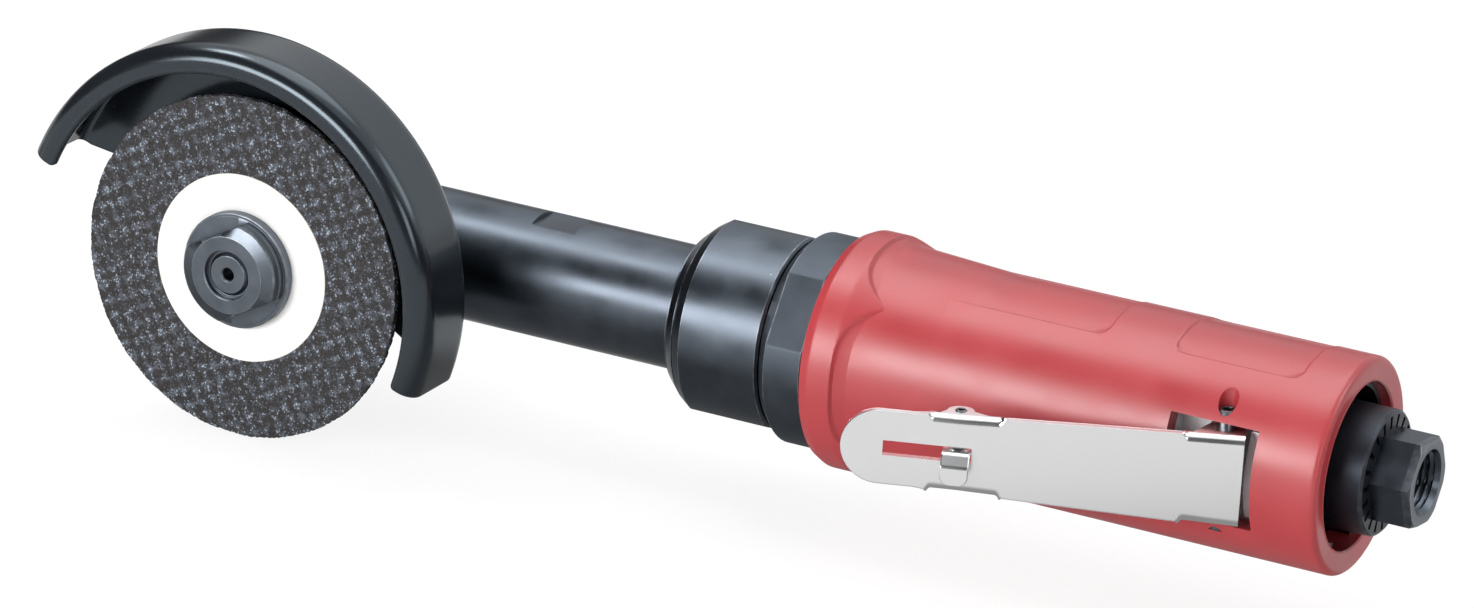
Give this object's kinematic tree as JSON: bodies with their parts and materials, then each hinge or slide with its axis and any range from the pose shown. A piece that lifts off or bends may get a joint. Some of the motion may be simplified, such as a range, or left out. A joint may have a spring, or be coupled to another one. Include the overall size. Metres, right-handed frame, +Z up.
{
  "type": "pneumatic cut-off tool",
  "caption": "Right-angle air cut-off tool: grip with throttle lever and lock, extension tube, angle head, swivelling guard and thin abrasive wheel on a geared spindle.",
  "frame": {"origin": "centre of the air inlet's thread at its mouth, where the chamfer starts", "axes": "+X along the motor axis and out of the air inlet, -Y the way the wheel faces, +Z up"},
  "size_m": [0.3055, 0.0763, 0.0891],
  "materials": {
    "red_plastic": "satin moulded",
    "black_oxide": "satin black oxide",
    "black_enamel": "semi-gloss black",
    "grey_steel": "dark phosphated",
    "bright_steel": "bright satin plated",
    "ground_steel": "ground",
    "gear_steel": "machined",
    "spring_steel": "drawn wire",
    "cast_iron": "honed",
    "vane_laminate": "cotton laminate",
    "bare_aluminium": "machined",
    "brass": "machined",
    "seal_rubber": "matte",
    "black_plastic": "matte moulded",
    "felt": "pressed felt",
    "abrasive": "resin-bonded grit",
    "label_paper": "paper"
  },
  "bodies": {
    "tool_body": {"grip_housing": "red_plastic", "front_adapter": "black_oxide", "lock_ring": "black_oxide", "collar_nut": "black_oxide", "extension_housing": "black_oxide", "angle_head": "black_oxide", "head_cap": "black_oxide", "bearing_retainer": "black_oxide", "guard_clamp_ring": "black_oxide", "motor_cylinder": "cast_iron", "front_end_plate": "cast_iron", "rear_end_plate": "cast_iron", "cylinder_dowels": "ground_steel", "pinion_bearing_outer": "ground_steel", "extension_bearing_outer": "ground_steel", "rotor_front_bearing_outer": "ground_steel", "rotor_rear_bearing_outer": "ground_steel", "spindle_main_bearing_outer": "ground_steel", "spindle_cap_bearing_outer": "ground_steel", "lever_pin": "gear_steel", "valve_body": "bare_aluminium", "valve_body_seals": "seal_rubber", "valve_seat": "brass", "valve_spring": "spring_steel", "inlet_bushing": "black_oxide", "inlet_screen": "brass", "exhaust_deflector": "black_plastic", "muffler_ring": "felt", "retaining_ring": "black_oxide"},
    "motor_shaft": {"bevel_pinion": "gear_steel", "drive_shaft": "ground_steel", "drive_coupling": "ground_steel", "rotor": "ground_steel", "rotor_vanes": "vane_laminate", "pinion_bearing_inner": "ground_steel", "extension_bearing_inner": "ground_steel", "rotor_front_bearing_inner": "ground_steel", "rotor_rear_bearing_inner": "ground_steel"},
    "wheel_spindle": {"spindle": "grey_steel", "bevel_gear": "gear_steel", "gear_key": "ground_steel", "inner_flange": "grey_steel", "cutoff_wheel": "abrasive", "wheel_label": "label_paper", "flange_nut": "grey_steel", "spindle_main_bearing_inner": "ground_steel", "spindle_cap_bearing_inner": "ground_steel"},
    "motor_balls": {"motor_bearing_balls": "ground_steel"},
    "spindle_balls": {"spindle_bearing_balls": "ground_steel"},
    "guard_cup": {"guard": "black_enamel"},
    "throttle": {"throttle_lever": "bright_steel", "lock_pin": "gear_steel", "lock_spring": "spring_steel"},
    "safety_lock": {"lock_lever": "bright_steel"},
    "plunger": {"valve_plunger": "ground_steel"},
    "tilting_valve": {"tip_valve": "brass"}
  },
  "joints": [
    {"name": "motor_spin", "type": "hinge", "parent": "tool_body", "child": "motor_shaft", "pos_m": [-0.1, 0, 0], "axis": [1, 0, 0], "continuous": true},
    {"name": "spindle_spin", "type": "hinge", "parent": "tool_body", "child": "wheel_spindle", "pos_m": [-0.2569, 0, 0], "axis": [0, 1, 0], "continuous": true},
    {"name": "motor_balls_run", "type": "hinge", "parent": "tool_body", "child": "motor_balls", "pos_m": [-0.1, 0, 0], "axis": [1, 0, 0], "continuous": true},
    {"name": "spindle_balls_run", "type": "hinge", "parent": "tool_body", "child": "spindle_balls", "pos_m": [-0.2569, 0, 0], "axis": [0, 1, 0], "continuous": true},
    {"name": "guard_swivel", "type": "hinge", "parent": "tool_body", "child": "guard_cup", "pos_m": [-0.2569, 0, 0], "axis": [0, 1, 0], "range_deg": [-90, 90]},
    {"name": "lever_press", "type": "hinge", "parent": "tool_body", "child": "throttle", "pos_m": [-0.0362, -0.0175, 0], "axis": [0, 0, -1], "range_deg": [0, 12], "stiffness_Nm_per_rad": 2, "springref_deg": -11.46},
    {"name": "lock_swing", "type": "hinge", "parent": "throttle", "child": "safety_lock", "pos_m": [-0.08505, -0.03911, 0], "axis": [0, 0, -1], "range_deg": [0, 30.2], "deforming": ["lock_spring"]},
    {"name": "plunger_slide", "type": "slide", "parent": "tool_body", "child": "plunger", "axis": [0, 1, 0], "range_m": [0, 0.00216]},
    {"name": "valve_tilt", "type": "hinge", "parent": "tool_body", "child": "tilting_valve", "pos_m": [-0.0318, -0.0061, 0], "axis": [0, 0, -1], "range_deg": [0, 10.6], "deforming": ["valve_spring"]}
  ],
  "couplings": [
    {"joint": "spindle_spin", "follows": "motor_spin", "ratio": 0.77778},
    {"joint": "motor_balls_run", "follows": "motor_spin", "ratio": 0.36},
    {"joint": "spindle_balls_run", "follows": "motor_spin", "ratio": 0.29},
    {"joint": "lock_swing", "follows": "lever_press", "ratio": 2.5},
    {"joint": "plunger_slide", "follows": "lever_press", "m_per_rad": 0.010268},
    {"joint": "valve_tilt", "follows": "lever_press", "ratio": 0.875}
  ]
}
